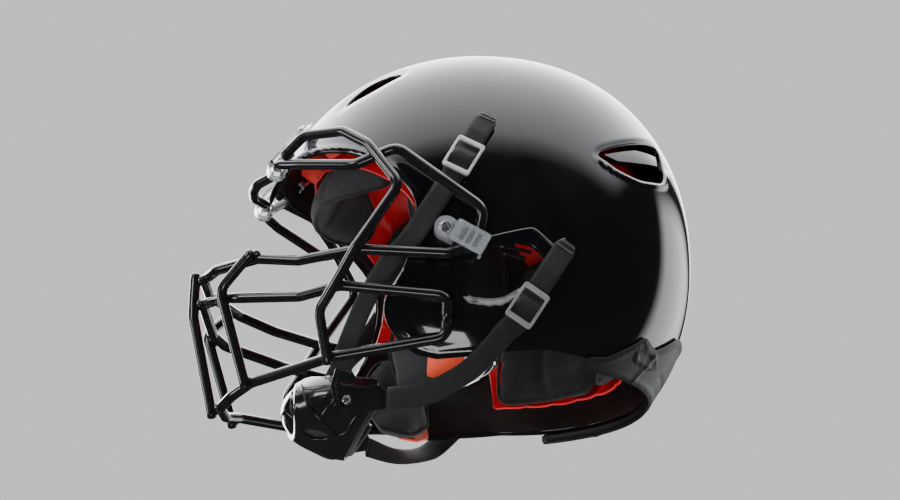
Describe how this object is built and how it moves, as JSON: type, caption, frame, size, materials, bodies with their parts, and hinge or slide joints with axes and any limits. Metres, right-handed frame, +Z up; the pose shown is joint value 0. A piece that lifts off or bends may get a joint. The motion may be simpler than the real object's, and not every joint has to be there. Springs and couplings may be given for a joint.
{
  "type": "american football helmet",
  "caption": "Hard shell sports helmet with a swing-up wire face cage, fabric padded liner, snap chin straps and a tilting chin cup.",
  "frame": {"origin": "under the middle of the head space, on the plane of the shell's lower edge", "axes": "+Z up, the face opening looks along -Y, +X is the wearer's left"},
  "size_m": [0.254, 0.3381, 0.2792],
  "materials": {
    "shell_gloss": "deep black, polished to a mirror-like clear gloss",
    "bumper_rubber": "black rubber, satin, moulded in relief",
    "vent_plastic": "black moulded plastic",
    "fastener_steel": "bright stainless steel",
    "snap_metal": "nickel plate",
    "liner_plastic": "red polymer film, soft sheen",
    "absorber_plastic": "red springy polymer",
    "backing_plastic": "orange-red sheet plastic",
    "pad_fabric": "dark grey knit over foam, welded seams",
    "cage_coating": "black dip coating over steel wire, glossy",
    "clear_plastic": "clear moulded plastic with a grey cast",
    "webbing": "black ribbed nylon webbing",
    "buckle_metal": "brushed silver plate",
    "cup_plastic": "black hard plastic, satin",
    "bracket_plastic": "black moulded plastic, glossy"
  },
  "bodies": {
    "helmet": {"absorbers_left": "absorber_plastic", "absorbers_right": "absorber_plastic", "absorbers_top_and_back": "absorber_plastic", "crown_pad": "pad_fabric", "cup_rivets": "fastener_steel", "front_bumper": "bumper_rubber", "front_clip_left": "clear_plastic", "front_clip_right": "clear_plastic", "front_clip_screws": "fastener_steel", "front_pad": "pad_fabric", "jaw_pad_backing_left": "backing_plastic", "jaw_pad_backing_right": "backing_plastic", "jaw_pad_left": "pad_fabric", "jaw_pad_right": "pad_fabric", "liner_bonnet": "liner_plastic", "lower_buckle_left": "buckle_metal", "lower_buckle_right": "buckle_metal", "lower_strap_left": "webbing", "lower_strap_right": "webbing", "neck_pad": "pad_fabric", "rear_bumper": "bumper_rubber", "rear_pad": "pad_fabric", "rear_side_pad_left": "pad_fabric", "rear_side_pad_right": "pad_fabric", "shell": "shell_gloss", "side_pad_left": "pad_fabric", "side_pad_right": "pad_fabric", "snap_studs": "snap_metal", "strap_bracket_left": "bracket_plastic", "strap_bracket_right": "bracket_plastic", "tee_nuts": "fastener_steel", "upper_buckle_left": "buckle_metal", "upper_buckle_right": "buckle_metal", "upper_strap_left": "webbing", "upper_strap_right": "webbing", "vent_fin_left": "vent_plastic", "vent_fin_right": "vent_plastic"},
    "facemask": {"brow_bar": "cage_coating", "upper_bar": "cage_coating", "middle_bar": "cage_coating", "lower_bar": "cage_coating", "centre_upright": "cage_coating", "side_upright_left": "cage_coating", "side_upright_right": "cage_coating", "corner_upright_left": "cage_coating", "corner_upright_right": "cage_coating", "side_clip_left": "clear_plastic", "side_clip_right": "clear_plastic", "side_clip_screws": "fastener_steel"},
    "chin_cup": {"chin_cup": "cup_plastic", "chin_cup_pad": "pad_fabric"},
    "upper_tab_left": {"upper_tab_left": "webbing", "upper_snap_cap_left": "snap_metal"},
    "upper_tab_right": {"upper_tab_right": "webbing", "upper_snap_cap_right": "snap_metal"},
    "lower_tab_left": {"lower_tab_left": "webbing", "lower_snap_cap_left": "snap_metal"},
    "lower_tab_right": {"lower_tab_right": "webbing", "lower_snap_cap_right": "snap_metal"}
  },
  "joints": [
    {"name": "facemask_swing", "type": "hinge", "parent": "helmet", "child": "facemask", "pos_m": [0, -0.122, 0.145], "axis": [-1, 0, 0], "range_deg": [0, 75]},
    {"name": "chin_cup_tilt", "type": "hinge", "parent": "helmet", "child": "chin_cup", "pos_m": [0, -0.075, -0.016], "axis": [1, 0, 0], "range_deg": [-12, 12]},
    {"name": "upper_tab_peel_left", "type": "hinge", "parent": "helmet", "child": "upper_tab_left", "pos_m": [0.10557, 0.00065, 0.14844], "axis": [0.1795, 0.8725, -0.4544], "range_deg": [0, 40]},
    {"name": "upper_tab_peel_right", "type": "hinge", "parent": "helmet", "child": "upper_tab_right", "pos_m": [-0.10557, 0.00065, 0.14844], "axis": [0.1795, -0.8725, 0.4544], "range_deg": [0, 40]},
    {"name": "lower_tab_peel_left", "type": "hinge", "parent": "helmet", "child": "lower_tab_left", "pos_m": [0.11624, 0.04167, 0.0459], "axis": [-0.091, 0.8437, -0.529], "range_deg": [0, 40]},
    {"name": "lower_tab_peel_right", "type": "hinge", "parent": "helmet", "child": "lower_tab_right", "pos_m": [-0.11624, 0.04167, 0.0459], "axis": [-0.091, -0.8437, 0.529], "range_deg": [0, 40]}
  ]
}
